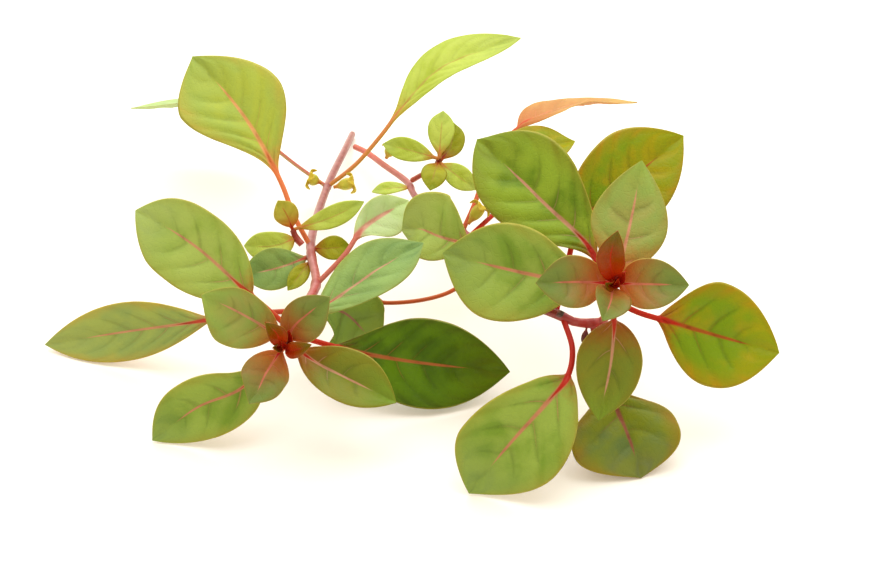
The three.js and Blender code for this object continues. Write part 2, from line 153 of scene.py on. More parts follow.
# The leaves, pair by pair. stalk is the share of the route that is stalk, and widest is where along
# the blade it is widest. A taper above 1 draws the blade's base in towards the stalk, a higher tip
# fills it out towards its point, lean gives more of the width to the left half, seen from the stem,
# and skew puts that half's widest place nearer to the tip. fold is how far each half rises off flat,
# in radians, rib how many times broader the midrib is drawn than usual, and face is where the upper
# side looks. What a leaf doesn't name, it has from ORDINARY_LEAF.
LEAVES = [
    # left rosette, from the oldest pair to the heart
    {"name": "left_leaf_1a", "tissue": "willow", "width": 13, "stalk": 0.34, "widest": 0.52,
     "route": [(-30.4, -2, 17), (-44, -1.4, 15.4), (-56, 1, 11.4), (-72, 4.6, 6.2), (-91, 6.2, 1.4)]},
    {"name": "left_leaf_1b", "tissue": "fern", "width": 15,
     "route": [(-30.4, -1, 17), (-21.8, 3.2, 12.8), (-16.7, 1.2, 8.5), (-13.9, -0.8, 6.5)]},
    {"name": "left_leaf_2a", "tissue": "soft", "width": 16.9, "stalk": 0.28, "widest": 0.52,
     "taper": 0.75, "tip": 3.2, "lean": 0.1,
     "route": [(-31.5, -12, 18.8), (-42.2, -7.4, 26.9), (-51, -4.1, 34.4), (-57.8, -2.5, 39),
               (-64.1, -1.6, 42.6)]},
    {"name": "left_leaf_2b", "tissue": "deep", "width": 19.5, "widest": 0.52,
     "route": [(-31.6, -13.5, 19), (-20.4, -13.4, 14.9), (-8.7, -10.2, 9.6), (2.2, -9.4, 7.2),
               (15.4, -9.3, 5.6)]},
    {"name": "left_leaf_3a", "tissue": "teal", "width": 13.5, "stalk": 0.15, "face": FACE_UP,
     "route": [(-31.3, -10, 18.4), (-23.5, -6.8, 22.4), (-13, 0, 26.7), (-3.7, 6.4, 29.2)]},
    {"name": "left_leaf_3b", "tissue": "meadow", "width": 13.5, "stalk": 0.25, "taper": 0.8,
     "lean": 0.1, "skew": -0.08,
     "route": [(-31.9, -15.5, 19.6), (-42, -21.3, 10.6), (-51.4, -22.9, 6.7), (-61.2, -26.6, 0.6)]},
    {"name": "left_leaf_4a", "tissue": "young", "width": 12, "stalk": 0.12, "widest": 0.6, "taper": 0.8,
     "lean": 0.22, "fold": 0.32,
     "route": [(-32.2, -18, 20.5), (-38.4, -19.5, 26.9), (-43.4, -20.9, 31.5), (-48, -23.2, 36)]},
    {"name": "left_leaf_4b", "tissue": "olive", "width": 12, "stalk": 0.12, "fold": 0.4,
     "face": (0.1, -0.6, 0.8),
     "route": [(-32.2, -18.4, 20.6), (-26, -23, 18.8), (-18.6, -26.6, 16.9), (-9, -31, 14.5)]},
    {"name": "left_leaf_5a", "tissue": "bronze", "width": 9.2, "stalk": 0.1, "lean": -0.14,
     "fold": 0.42,
     "route": [(-32.4, -20.4, 21.3), (-30, -21, 26.6), (-27, -21.2, 29.9), (-22.4, -21.1, 34)]},
    {"name": "left_leaf_5b", "tissue": "bronze", "width": 10, "stalk": 0.1, "lean": 0.05, "fold": 0.42,
     "route": [(-32.4, -20.4, 21.3), (-36, -26.8, 18.4), (-37.2, -30, 17.1), (-38.8, -33, 15.9)]},
    {"name": "left_leaf_6a", "tissue": "heart", "width": 4, "stalk": 0.1, "fold": 0.5,
     "route": [(-32.5, -20.7, 21.5), (-32.8, -23, 24), (-33.2, -24.4, 27.1), (-35, -27.1, 32)]},
    {"name": "left_leaf_6b", "tissue": "heart", "width": 3.5, "stalk": 0.1, "fold": 0.5,
     "route": [(-32.3, -20.8, 21.2), (-31, -24, 22.6), (-29.2, -26.6, 24.8), (-25.9, -29.6, 28.3)]},

    # right rosette, from the oldest pair to the heart
    {"name": "right_leaf_1a", "tissue": "meadow", "width": 20.5, "stalk": 0.32, "widest": 0.6,
     "taper": 0.9, "tip": 2.1, "lean": 0.06, "skew": -0.08,
     "route": [(25.6, -16.2, 25.6), (27.2, -24.6, 23.2), (26, -30, 20.7), (22.3, -34, 18),
               (14.2, -38.6, 10.1), (5.9, -43, 0.5)]},
    {"name": "right_leaf_1b", "tissue": "golden", "width": 20.5, "stalk": 0.4, "widest": 0.48,
     "taper": 0.8, "lean": 0.02, "skew": 0.06,
     "route": [(24.2, -15.7, 26), (27, -4.4, 29.4), (29.7, 3.6, 34), (35.4, 9.9, 37.8),
               (43.5, 16.3, 41), (54.2, 23.6, 46.5)]},
    {"name": "right_leaf_2a", "tissue": "leafy", "width": 20.6, "stalk": 0.25, "widest": 0.6,
     "taper": 1.3, "tip": 2.3, "lean": -0.05,
     "route": [(34.9, -17.8, 28.5), (32, -5.1, 34.6), (22, 4, 41.2), (14.4, 10.9, 46),
               (8.1, 16.9, 49.3)]},
    {"name": "right_leaf_2b", "tissue": "moss", "width": 23.5, "stalk": 0.46, "tip": 3, "lean": -0.12,
     "face": FACE_UP,
     "route": [(31.6, -17.3, 25), (34.6, -19.1, 13.7), (36.9, -25.2, 8.6), (39.5, -31.7, 4.9),
               (41.6, -38, 0.2)]},
    {"name": "right_leaf_3a", "tissue": "meadow", "width": 20.8, "stalk": 0.15, "widest": 0.56,
     "taper": 1.0, "lean": 0.08, "skew": 0.02,
     "route": [(35.3, -17.2, 32), (28, -14.2, 32.7), (20.4, -11.6, 32.7), (10.5, -8.6, 33.4),
               (0.6, -6.4, 35)]},
    {"name": "right_leaf_3b", "tissue": "golden", "width": 21.5, "stalk": 0.3, "widest": 0.46,
     "tip": 2.3, "skew": -0.04,
     "route": [(35.2, -17.4, 31), (41, -17.7, 27.8), (48, -17.3, 25), (58, -18.1, 22),
               (71, -20.2, 19.1)]},
    {"name": "right_leaf_4a", "tissue": "young", "width": 15.6, "stalk": 0.1, "widest": 0.43,
     "taper": 1.0, "tip": 1.9, "lean": 0.05,
     "route": [(35.3, -17.6, 34), (37.6, -12.6, 39), (39.8, -6.2, 44.5), (42, 1.2, 53)]},
    {"name": "right_leaf_4b", "tissue": "olive", "width": 13.4, "widest": 0.42, "taper": 0.8,
     "lean": -0.08, "fold": 0.32,
     "route": [(35.2, -17.3, 31), (35.6, -21.5, 28.9), (34.8, -27.8, 22.2), (32.3, -34.6, 12.8)]},
    {"name": "right_leaf_5a", "tissue": "bronze", "width": 11, "stalk": 0.1, "taper": 0.8, "fold": 0.42,
     "route": [(35.2, -18.1, 35.3), (28.3, -20.5, 37.3), (19.2, -23.3, 39)]},
    {"name": "right_leaf_5b", "tissue": "bronze", "width": 10.5, "stalk": 0.1, "widest": 0.46,
     "taper": 0.8, "fold": 0.42,
     "route": [(35.2, -18.1, 35.3), (41, -20.8, 37), (50, -22.6, 38)]},
    {"name": "right_leaf_6a", "tissue": "heart", "width": 6, "stalk": 0.1, "fold": 0.5,
     "route": [(35.2, -18.4, 35.8), (34.6, -20.2, 39), (34, -20.8, 44), (35, -21.2, 50)]},
    {"name": "right_leaf_6b", "tissue": "bronze", "width": 8, "stalk": 0.1, "fold": 0.5,
     "route": [(35.2, -18.4, 35.3), (34.8, -21.5, 35.7), (34, -25.8, 36), (32, -32, 36)]},

    # along the main stem
    {"name": "main_leaf_1a", "tissue": "pale", "width": 14, "stalk": 0.3, "face": (0.2, 0.35, 0.9),
     "route": [(-29.4, 65.7, 8), (-37.8, 71.9, 11), (-45.2, 76.8, 14.6), (-59, 84.8, 20.5),
               (-82.9, 87.9, 19.3)]},
    {"name": "main_leaf_1b", "tissue": "lime", "width": 13, "stalk": 0.35, "widest": 0.58, "taper": 2.0,
     "tip": 1.8, "lean": 0.12, "face": (-0.2, -0.3, 0.9),
     "route": [(-29.4, 65.7, 8), (-22.2, 70, 12.1), (-15.8, 76, 17.1), (-10.6, 82, 21.5), (0, 90, 29.7),
               (21.5, 96, 36)]},
    {"name": "main_leaf_2a", "tissue": "amber", "width": 24.5, "stalk": 0.33, "widest": 0.58,
     "taper": 2.0, "tip": 1.9, "lean": 0.02, "skew": 0.1,
     "route": [(-30.7, 28, 14), (-35, 34, 19.4), (-38, 40, 24.2), (-45.2, 51.3, 32.4),
               (-52.5, 60.5, 37.8), (-61.5, 68.9, 43.8)]},
    {"name": "main_leaf_3a", "tissue": "pale", "width": 10, "stalk": 0.45, "taper": 1.6, "lean": -0.15,
     "rib": 2.4,
     "route": [(-28.2, 10, 15.5), (-22, 18, 18.4), (-17.8, 26.5, 20.4), (-7.6, 37.4, 21.2)]},

    # along the side branch
    {"name": "branch_leaf_1a", "tissue": "lime", "width": 4, "stalk": 0.1, "face": FACE_UP,
     "route": [(-7, 60, 11.3), (-12.8, 60, 10.9), (-17.4, 59, 10.6)]},
    {"name": "branch_leaf_2a", "tissue": "peach", "width": 13, "stalk": 0.5, "widest": 0.32,
     "taper": 1.2, "tip": 1.3, "face": (0, 0.3, 0.93),
     "route": [(5.4, 29, 18), (8.1, 35, 21.3), (12.1, 46, 26.1), (18.5, 56, 30), (33, 65, 32),
               (50, 69, 31)]},
    {"name": "branch_leaf_2b", "tissue": "golden", "width": 15.5, "stalk": 0.35,
     "face": (0, -0.2, 0.95),
     "route": [(6.9, 25.4, 18.6), (15.8, 37.3, 21.2), (23.3, 48.1, 28), (33, 51.7, 29.4)]},
    {"name": "branch_leaf_3a", "tissue": "soft", "width": 16, "stalk": 0.1, "lean": -0.2,
     "route": [(8.5, 19.6, 19.6), (0, 23.2, 20), (-4.7, 25.9, 20.4), (-9, 27.5, 19.1)]},
    {"name": "branch_leaf_3b", "tissue": "peach", "width": 6, "stalk": 0.7,
     "route": [(9.6, 16.5, 20.2), (3.4, 8.8, 15.2), (-11.5, 6.2, 13.2), (-20.4, 8.1, 14.1),
               (-24.3, 9.8, 14.8)]},

    # low side shoot
    {"name": "low_leaf_1a", "tissue": "teal", "width": 9.5, "stalk": 0.1,
     "route": [(-30.2, 24, 14.2), (-37, 20, 13.7), (-46, 17.1, 13.1)]},
    {"name": "low_leaf_1b", "tissue": "shade", "width": 4, "stalk": 0.1,
     "route": [(-30.1, 22, 14.4), (-33, 16, 13.3), (-35, 12.8, 12.1)]},
    {"name": "low_leaf_2a", "tissue": "lime", "width": 6.5, "stalk": 0.1, "taper": 0.8, "tip": 2.8,
     "route": [(-33.6, 29, 16.2), (-39, 25.3, 16.1), (-46, 24.5, 16.6)]},
    {"name": "low_leaf_2b", "tissue": "shade", "width": 5.5, "stalk": 0.1,
     "route": [(-30.7, 27, 14.1), (-25.6, 27.6, 14), (-21.4, 28.7, 13.8)]},
    {"name": "low_leaf_3a", "tissue": "ochre", "width": 5.5, "stalk": 0.1, "taper": 0.8,
     "route": [(-34.9, 29.4, 18), (-36, 30, 21.5), (-38, 30.3, 25.5)]},
    {"name": "low_leaf_3b", "tissue": "lime", "width": 5, "stalk": 0.1,
     "route": [(-34.9, 29.4, 18), (-26.4, 31.5, 19.8), (-18.1, 34.9, 22.4)]},

    # back side shoot
    {"name": "back_leaf_1a", "tissue": "lime", "width": 5.5, "stalk": 0.1,
     "route": [(-0.2, 53.4, 23.5), (-7.9, 54, 25.7), (-14.2, 56, 26.2)]},
    {"name": "back_leaf_1b", "tissue": "lime", "width": 5.5, "stalk": 0.1,
     "route": [(-0.4, 53.8, 22.5), (4.4, 49.7, 20.7), (8.8, 46.7, 18.6)]},
    {"name": "back_leaf_2a", "tissue": "lime", "width": 6.3, "stalk": 0.1,
     "route": [(-0.2, 53.4, 23.5), (0.2, 57, 28.2), (0.8, 62.1, 32.2)]},
    {"name": "back_leaf_2b", "tissue": "shade", "width": 6, "stalk": 0.1,
     "route": [(-0.4, 53.8, 22.5), (-1.5, 48, 22.1), (-2.4, 44, 20.1)]},
    {"name": "back_leaf_3", "tissue": "shade", "width": 6, "stalk": 0.1,
     "route": [(0, 53.4, 22.8), (2.7, 57.9, 24.6), (3.4, 63.5, 28.1)]},
]

# The youngest leaves of each rosette, still closed over the growing point.
BUDS = [
    {"name": "left_bud_a", "tissue": "core", "width": 2.6, "fold": 0.7,
     "route": [(-32.4, -20.6, 21.4), (-31.4, -22, 24), (-31, -22.4, 26.6)]},
    {"name": "left_bud_b", "tissue": "heart", "width": 2.6, "fold": 0.7,
     "route": [(-32.4, -20.6, 21.4), (-33.6, -23, 22.6), (-34.2, -25, 24)]},
    {"name": "left_bud_c", "tissue": "core", "width": 1.8, "fold": 0.9,
     "route": [(-32.4, -20.9, 21.6), (-32, -23, 23.2), (-32.4, -24.2, 25.2)]},
    {"name": "right_bud_a", "tissue": "core", "width": 2.8, "fold": 0.7,
     "route": [(35.2, -18.5, 35.7), (36.4, -20, 38), (37.2, -20.8, 40)]},
    {"name": "right_bud_b", "tissue": "heart", "width": 2.6, "fold": 0.7,
     "route": [(35.2, -18.5, 35.7), (34, -21.4, 37), (33.2, -22.8, 38.6)]},
    {"name": "right_bud_c", "tissue": "core", "width": 1.8, "fold": 0.9,
     "route": [(35.2, -18.6, 35.8), (35.6, -21, 37.2), (35.8, -22, 39)]},
]

CAPSULES = [
    {"name": "main_capsule_a", "foot": (-30.8, 65.4, 9.4), "tip": (-34, 65.8, 10.6)},
    {"name": "main_capsule_b", "foot": (-27.7, 64.6, 8.6), "tip": (-22.4, 65.4, 9.6)},
    {"name": "branch_capsule_a", "foot": (-14.4, 77, 10), "tip": (-12.6, 79.4, 12.2)},
    {"name": "branch_capsule_b", "foot": (6.6, 29, 19.8), "tip": (10, 31.4, 23.6)},
]

# Resting buds in the angles between a leaf stalk and the branch, each from its foot to its tip.
AXIL_BUDS = [
    {"name": "branch_bud_a", "foot": (24.2, -16.8, 26.2), "tip": (25.2, -18.8, 28.4)},
    {"name": "branch_bud_b", "foot": (30.6, -18, 24.2), "tip": (30, -20, 21.6)},
    {"name": "branch_bud_c", "foot": (21.4, -14.6, 26.8), "tip": (20.4, -16, 28.6)},
]

# Each tissue is one age or exposure of the same leaf. body and patch_and_highlight are mixed in soft
# clouds, and patch_and_highlight is also the painted highlight on the tissue that swells between the
# side veins. tip and margin tint those parts, flush is the red that runs up from the stalk, rib and
# thread are the midrib at its base and further out, and under is the lower side. valley_shade is how
# strongly painted shade darkens the side veins' valleys, flush_reach how far up the blade the flush
# comes, and roughness how matt the wax is.
TISSUES = {
    "meadow": {"body": "82A434", "patch_and_highlight": "A2BC50", "tip": "8CA658", "margin": "A8A43C",
               "flush": "B8602A", "rib": "C8301C", "thread": "D88C6C", "under": "C8A43C",
               "flush_reach": 0.1, "roughness": 0.42, "valley_shade": 0.25},
    "willow": {"body": "9CB462", "patch_and_highlight": "ACBE60", "tip": "A4B464", "margin": "CCA43C",
               "flush": "C07848", "rib": "CC5038", "thread": "DC9878", "under": "D0A038",
               "flush_reach": 0.06, "roughness": 0.45, "valley_shade": 0.17},
    "fern": {"body": "98BA58", "patch_and_highlight": "A2C44E", "tip": "B0C066", "margin": "8E9C3C",
             "flush": "8A6440", "rib": "B8645C", "thread": "C08478", "under": "A4A040",
             "flush_reach": 0.08, "roughness": 0.42, "valley_shade": 0.17},
    "leafy": {"body": "74981C", "patch_and_highlight": "9CBA34", "tip": "869428", "margin": "86801C",
              "flush": "D0602C", "rib": "C8301C", "thread": "E0A088", "under": "B89434",
              "flush_reach": 0.1, "roughness": 0.4, "valley_shade": 0.28},
    "soft": {"body": "A4C254", "patch_and_highlight": "B8D068", "tip": "B6CC7C", "margin": "ACB44C",
             "flush": "C0682C", "rib": "CE4A28", "thread": "DE9C7C", "under": "C4A848",
             "flush_reach": 0.1, "roughness": 0.45, "valley_shade": 0.19},
    "golden": {"body": "AEA604", "patch_and_highlight": "84A40C", "tip": "AEAC08", "margin": "C48C0C",
               "flush": "B84C0C", "rib": "C82C10", "thread": "B8541C", "under": "B07C18",
               "flush_reach": 0.16, "roughness": 0.42, "valley_shade": 0.25},
    "moss": {"body": "708842", "patch_and_highlight": "8A9820", "tip": "7E844C", "margin": "AC7C18",
             "flush": "A84C2C", "rib": "B8382C", "thread": "A8604C", "under": "A87818",
             "flush_reach": 0.08, "roughness": 0.42, "valley_shade": 0.17},
    "teal": {"body": "8CAC5C", "patch_and_highlight": "9EBE68", "tip": "6E9450", "margin": "9CAC50",
             "flush": "B87C4C", "rib": "CC5E46", "thread": "DCA084", "under": "A0A850",
             "flush_reach": 0.08, "roughness": 0.42, "valley_shade": 0.19},
    "deep": {"body": "507404", "patch_and_highlight": "68900A", "tip": "6C7C08", "margin": "4C5808",
             "flush": "70440A", "rib": "CC3214", "thread": "CC7040", "under": "7A7418",
             "flush_reach": 0.1, "roughness": 0.36, "valley_shade": 0.28},
    "young": {"body": "AEB45C", "patch_and_highlight": "9CB858", "tip": "A8C656", "margin": "A8983F",
              "flush": "D4682A", "rib": "CC2A18", "thread": "E4A080", "under": "A88434",
              "flush_reach": 0.35, "roughness": 0.4, "valley_shade": 0.22},
    "olive": {"body": "8C9028", "patch_and_highlight": "82902A", "tip": "86AA30", "margin": "90801C",
              "flush": "B0541C", "rib": "CC3C24", "thread": "E0A486", "under": "A07828",
              "flush_reach": 0.35, "roughness": 0.38, "valley_shade": 0.25},
    "bronze": {"body": "A0904F", "patch_and_highlight": "8A9A47", "tip": "7C9A44", "margin": "947C3C",
               "flush": "DC6426", "rib": "D02414", "thread": "E4846A", "under": "A67038",
               "flush_reach": 0.65, "roughness": 0.38, "valley_shade": 0.22},
    "heart": {"body": "A44A08", "patch_and_highlight": "8A5804", "tip": "667808", "margin": "8A4810",
              "flush": "DC2006", "rib": "C81408", "thread": "CC3414", "under": "C03018",
              "flush_reach": 0.75, "roughness": 0.32, "valley_shade": 0.11},
    "core": {"body": "B41C0C", "patch_and_highlight": "C0260E", "tip": "BC3814", "margin": "A81C0A",
             "flush": "A8140A", "rib": "CC1C0C", "thread": "C82C14", "under": "C4240E",
             "flush_reach": 0.5, "roughness": 0.3, "valley_shade": 0.06},
    "lime": {"body": "BED04A", "patch_and_highlight": "CEDE64", "tip": "B4C864", "margin": "BCD050",
             "flush": "D0842C", "rib": "D88C4C", "thread": "C8B858", "under": "B8C854",
             "flush_reach": 0.2, "roughness": 0.45, "valley_shade": 0.08},
    "ochre": {"body": "CCC848", "patch_and_highlight": "D4D058", "tip": "B4BC3C", "margin": "C8AC40",
              "flush": "D05414", "rib": "B82810", "thread": "D08840", "under": "C8A438",
              "flush_reach": 0.5, "roughness": 0.42, "valley_shade": 0.07},
    "shade": {"body": "A4A814", "patch_and_highlight": "B2B426", "tip": "849810", "margin": "98981C",
              "flush": "B04C14", "rib": "A83814", "thread": "B09834", "under": "9C9830",
              "flush_reach": 0.35, "roughness": 0.42, "valley_shade": 0.07},
    "pale": {"body": "BED892", "patch_and_highlight": "CCE0A4", "tip": "C4DE8C", "margin": "C8D88C",
             "flush": "D09070", "rib": "CC7460", "thread": "DC9C8A", "under": "C4D28A",
             "flush_reach": 0.14, "roughness": 0.45, "valley_shade": 0.06},
    "amber": {"body": "BCCC4E", "patch_and_highlight": "B0C656", "tip": "A6BC58", "margin": "CEB84E",
              "flush": "EC9048", "rib": "E8864E", "thread": "F0AC70", "under": "C6B852",
              "flush_reach": 0.18, "roughness": 0.45, "valley_shade": 0.07},
    "peach": {"body": "D29A5C", "patch_and_highlight": "DAAC68", "tip": "DCCA78", "margin": "DCA850",
              "flush": "CC7840", "rib": "D46438", "thread": "E09468", "under": "DC9C58",
              "flush_reach": 0.3, "roughness": 0.45, "valley_shade": 0.06},
    "sepal": {"body": "E4CC3C", "patch_and_highlight": "D8C030", "tip": "E8D860", "margin": "ECDC68",
              "flush": "C89820", "rib": "C8A030", "thread": "DCC04C", "under": "DCC444",
              "flush_reach": 0.3, "roughness": 0.5, "valley_shade": 0.03},
}
# the colour of the painted shade in the side veins' valleys
VALLEY_SHADE_COLOUR = "3C5208"
# the colour of the painted highlight along each leaf's rim
RIM_HIGHLIGHT_COLOUR = "E2DC5C"

# The skin of a stem, as colours at shares of its length from its foot.
SKINS = {
    "main": [(0.0, "94584C"), (0.25, "8C4C48"), (0.5, "8C4C4C"), (0.62, "944A48"), (0.85, "B03020"),
             (1.0, "C02010")],
    "branch": [(0.0, "D0583C"), (0.08, "CC4424"), (0.16, "B85C48"), (0.3, "A45C5C"),
               (0.55, "A04A50"), (0.72, "B03028"), (0.84, "8A1410"), (0.95, "CC3024"),
               (1.0, "C82818")],
    "shoot": [(0.0, "A83018"), (0.6, "8A2410"), (1.0, "7A2010")],
}
STREAK_COLOUR = "C48078"
# the colour of the painted highlight laid down the lit side of the stems
PAINTED_HIGHLIGHT_COLOUR = "CCA09C"
JOINT_COLOUR = "8A1C12"
# how strongly each stem's skin takes the painted highlight
PAINTED_HIGHLIGHT_STRENGTH = {"main": 0.44, "branch": 0.15, "shoot": 0.0}
PITH_COLOUR = "D9DDA8"

# Sizes of the patterns in the tissues, in millimetres. The net of the smallest veins is drawn
# coarser than it grows, so that it shows.
CLOUD_SIZE = 9.0
GRAIN_SIZE = 1.2
NET_SIZE = 1.3
STREAK_SIZE = 1.5
NET_HEIGHT = 0.12
STREAK_HEIGHT = 0.1
MOTTLE_HEIGHT = 0.15

TISSUE_IOR = 1.45
BLOOM = 0.25  # how much of its shine the matt wax leaves on a leaf
THROUGH_COLOUR = "F4F0B0"  # the tint of the light that comes through a blade
THROUGH_SHARE = 0.3


def in_frame(places):
    """Places of the growing frame, in millimetres, as places of the part's frame, in metres."""
    return (np.asarray(places, float) - np.array(PLANT_CENTRE)) * MM


def mix(a, b, share):
    return a + (b - a) * share


def smooth(value, low, high):
    """0 below low and 1 above high, with a soft rise between them."""
    share = np.clip((value - low) / (high - low), 0, 1)
    return share * share * (3 - 2 * share)


# ---------------------------------------------------------------- routes

def smooth_route(places):
    """Close-set places on the smooth curve through the given ones, and the length up to each."""
    knots = [np.array(place, float) for place in places]
    knots = [2 * knots[0] - knots[1], *knots, 2 * knots[-1] - knots[-2]]
    steps = np.linspace(0, 1, ROUTE_STEPS, endpoint=False)[:, None]
    fine = []
    for before, start, end, after in zip(knots, knots[1:], knots[2:], knots[3:]):
        gaps = [math.sqrt(np.linalg.norm(b - a)) for a, b in
                ((before, start), (start, end), (end, after))]
        leave = ((start - before) / gaps[0] - (end - before) / (gaps[0] + gaps[1])
                 + (end - start) / gaps[1]) * gaps[1]
        arrive = ((end - start) / gaps[1] - (after - start) / (gaps[1] + gaps[2])
                  + (after - end) / gaps[2]) * gaps[1]
        fine.append(start + leave * steps
                    + (3 * (end - start) - 2 * leave - arrive) * steps ** 2
                    + (2 * (start - end) + leave + arrive) * steps ** 3)
    fine = np.vstack([*fine, knots[-2]])
    lengths = np.concatenate([[0], np.cumsum(np.linalg.norm(np.diff(fine, axis=0), axis=1))])
    return fine, lengths


def unit(vectors):
    return vectors / np.linalg.norm(vectors, axis=-1, keepdims=True)


def follow(route, shares):
    """Places and directions at these shares of a route's length."""
    fine, lengths = route
    directions = unit(np.gradient(fine, axis=0))
    at = shares * lengths[-1]
    places = np.stack([np.interp(at, lengths, fine[:, axis]) for axis in range(3)], axis=1)
    headings = np.stack([np.interp(at, lengths, directions[:, axis]) for axis in range(3)], axis=1)
    return places, unit(headings)


# ---------------------------------------------------------------- blanks and their copies

def round_bar(name, sides, sections):
    """A closed round bar from X = 0 to 1, with its length cut into sections."""
    bpy.ops.mesh.primitive_cylinder_add(vertices=sides, radius=1, depth=1, end_fill_type="NGON",
                                        location=(0.5, 0, 0), rotation=(0, math.pi / 2, 0))
    bpy.ops.object.transform_apply(location=True, rotation=True, scale=True)
    bar = bpy.context.object
    bar.name = name
    bpy.ops.object.mode_set(mode="EDIT")
    bpy.ops.mesh.select_mode(type="EDGE")
    bpy.ops.mesh.select_all(action="DESELECT")
    bpy.ops.object.mode_set(mode="OBJECT")
    for edge in bar.data.edges:
        ends = [bar.data.vertices[index].co.x for index in edge.vertices]
        edge.select = abs(ends[0] - ends[1]) > 0.5
    bpy.ops.object.mode_set(mode="EDIT")
    bpy.ops.mesh.subdivide(number_cuts=sections - 1)
    bpy.ops.mesh.select_all(action="SELECT")
    bpy.ops.mesh.normals_make_consistent(inside=False)
    bpy.ops.object.mode_set(mode="OBJECT")
    bpy.ops.object.shade_smooth()
    bpy.ops.object.select_all(action="DESELECT")
    return bar


def sink_pith(bar):
    """Sinks the middle of a bar's first end, which leaves the rind standing as a ring."""
    for face in bar.data.polygons:
        face.select = face.center.x < TOUCH
    bpy.context.view_layer.objects.active = bar
    bpy.ops.object.mode_set(mode="EDIT")
    bpy.ops.mesh.select_mode(type="FACE")
    bpy.ops.mesh.inset(thickness=RIND_SHARE, depth=0)
    bpy.ops.mesh.inset(thickness=RIND_SHARE / 2, depth=-PITH_DEPTH)
    bpy.ops.object.mode_set(mode="OBJECT")


def capsule_blank():
    """A capsule of unit length stood on its foot: extruded ring by ring, with a sunken top."""
    bpy.ops.mesh.primitive_cylinder_add(vertices=CAPSULE_SIDES, radius=CAPSULE_FOOT_RADIUS,
                                        depth=CAPSULE_FOOT_HEIGHT,
                                        location=(0, 0, CAPSULE_FOOT_HEIGHT / 2))
    bpy.ops.object.transform_apply(location=True, rotation=True, scale=True)
    blank = bpy.context.object
    blank.name = "capsule blank"
    bpy.ops.object.mode_set(mode="EDIT")
    bpy.ops.mesh.select_mode(type="FACE")
    bpy.ops.mesh.select_all(action="DESELECT")
    bpy.ops.object.mode_set(mode="OBJECT")
    for face in blank.data.polygons:
        face.select = face.normal.z > 0.9
    bpy.ops.object.mode_set(mode="EDIT")
    height, radius = CAPSULE_FOOT_HEIGHT, CAPSULE_FOOT_RADIUS
    for ring_height, ring_radius in CAPSULE_RINGS:
        bpy.ops.mesh.extrude_region_move(
            TRANSFORM_OT_translate={"value": (0, 0, ring_height - height)})
        bpy.ops.transform.resize(value=(ring_radius / radius, ring_radius / radius, 1),
                                 center_override=(0, 0, ring_height))
        height, radius = ring_height, ring_radius
    bpy.ops.mesh.inset(thickness=radius * CAPSULE_TOP_INSET, depth=CAPSULE_RIM)
    bpy.ops.mesh.inset(thickness=radius * CAPSULE_TOP_INSET, depth=-CAPSULE_HOLLOW)
    bpy.ops.object.mode_set(mode="OBJECT")
    rounding = blank.modifiers.new("rounding", "SUBSURF")
    rounding.levels = rounding.render_levels = 2
    bpy.ops.object.modifier_apply(modifier=rounding.name)
    bpy.ops.object.shade_smooth()
    bpy.ops.object.select_all(action="DESELECT")
    return blank


def copy_of(blank, name):
    piece = blank.copy()
    piece.data = blank.data.copy()
    piece.name = name
    piece.data.name = name
    bpy.context.scene.collection.objects.link(piece)
    return piece


def corners_of(piece):
    corners = np.zeros(len(piece.data.vertices) * 3)
    piece.data.vertices.foreach_get("co", corners)
    return corners.reshape(-1, 3)


def move_corners(piece, places):
    piece.data.vertices.foreach_set("co", np.asarray(places, np.float32).ravel())
    piece.data.update()


def record_share(piece, name, values):
    attribute = piece.data.attributes.new(name, "FLOAT", "POINT")
    attribute.data.foreach_set("value", np.asarray(values, np.float32))


def blade_shape(t, half, leaf):
    """The width of a blade at t, 0 at its base and 1 at its tip, as a share of its full width.

    half is 1 for its left half and -1 for its right one.
    """
    crest = leaf["widest"] + leaf["skew"] * half
    base = (1 - (1 - np.clip(t / crest, 0, 1)) ** 2) ** leaf["taper"]
    point = 1 - (1 - np.clip((1 - t) / (1 - crest), 0, 1)) ** leaf["tip"]
    return np.where(t < crest, base, point)


